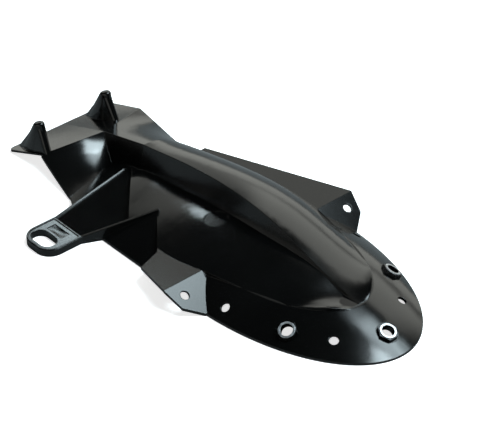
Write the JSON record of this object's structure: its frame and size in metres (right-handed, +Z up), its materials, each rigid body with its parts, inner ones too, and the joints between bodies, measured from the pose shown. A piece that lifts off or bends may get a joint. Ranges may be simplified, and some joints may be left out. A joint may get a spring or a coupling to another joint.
{
  "type": "motorcycle shock mud plate",
  "caption": "Domed black plastic mud plate for a motorcycle rear shock, with a rounded screw-on tongue, wing tabs, a rear shelf with pegs and a side arm ending in a slotted eye.",
  "frame": {"origin": "on the table, below the middle of the overall length and width", "axes": "+X along the plate towards the tip of the tongue, +Y across it away from the arm, +Z up from the table"},
  "size_m": [0.3586, 0.1968, 0.0419],
  "materials": {
    "plate": "satin gloss, moulded in black",
    "insert": "zinc-plated steel"
  },
  "bodies": {
    "root": {"mud_plate": "plate", "insert_near": "insert", "insert_tip": "insert", "insert_far": "insert"}
  },
  "joints": []
}
